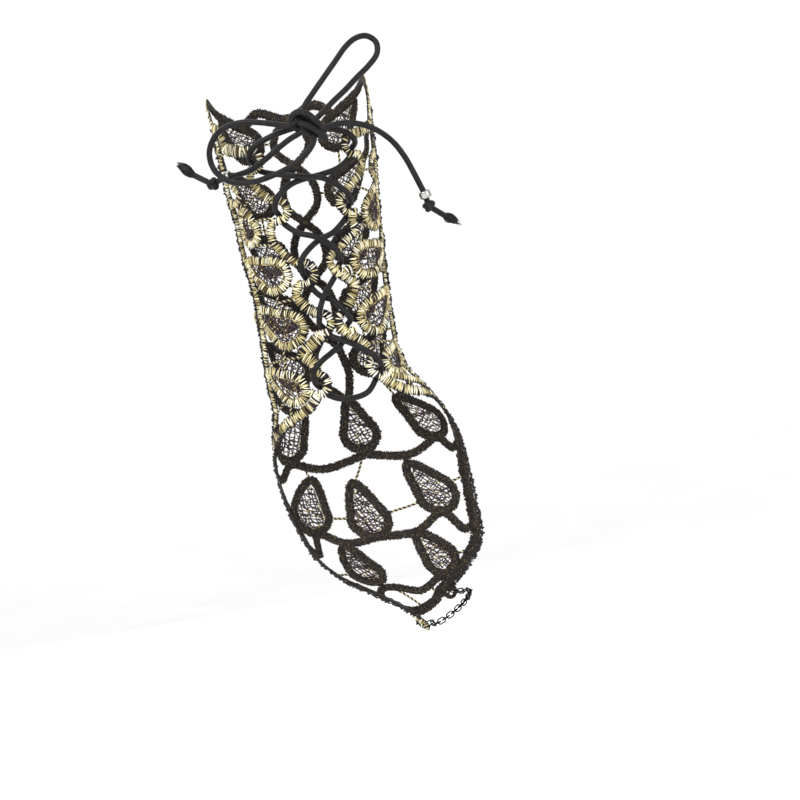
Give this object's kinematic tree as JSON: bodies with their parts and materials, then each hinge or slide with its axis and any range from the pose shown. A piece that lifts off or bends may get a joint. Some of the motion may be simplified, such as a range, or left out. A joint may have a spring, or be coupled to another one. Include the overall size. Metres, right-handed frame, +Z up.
{
  "type": "lace cuff with finger chain",
  "caption": "Gold and black corded lace cuff for the forearm and wrist, laced with black cord along the inner wrist, with a tongue over the back of the hand and a chain for one finger.",
  "frame": {"origin": "middle of the hollow at the wrist crease, where the cuff is worn", "axes": "+Z up the forearm towards the elbow, +X across the wrist to the little finger side, -Y towards the laced inner wrist"},
  "size_m": [0.1085, 0.0659, 0.2422],
  "materials": {
    "gold_lace": "gold satin-stitched bands with black thread",
    "black_cord": "round waxed cord",
    "silver": "polished",
    "black_metal": "black plated wire"
  },
  "bodies": {
    "root": {"lace_panel": "gold_lace", "lacing_cord": "black_cord", "bow_loop_left": "black_cord", "bow_loop_upper": "black_cord", "bow_knot": "black_cord", "tail_left": "black_cord", "tail_right": "black_cord", "bead_left": "silver", "bead_right": "silver", "jump_ring_left": "black_metal", "jump_ring_right": "black_metal", "chain_link_01": "black_metal", "chain_link_02": "black_metal", "chain_link_03": "black_metal", "chain_link_04": "black_metal", "chain_link_05": "black_metal", "chain_link_06": "black_metal", "chain_link_07": "black_metal", "chain_link_08": "black_metal", "chain_link_09": "black_metal", "chain_link_10": "black_metal", "chain_link_11": "black_metal", "chain_link_12": "black_metal", "chain_link_13": "black_metal", "chain_link_14": "black_metal", "chain_link_15": "black_metal", "chain_link_16": "black_metal", "chain_link_17": "black_metal"}
  },
  "joints": []
}
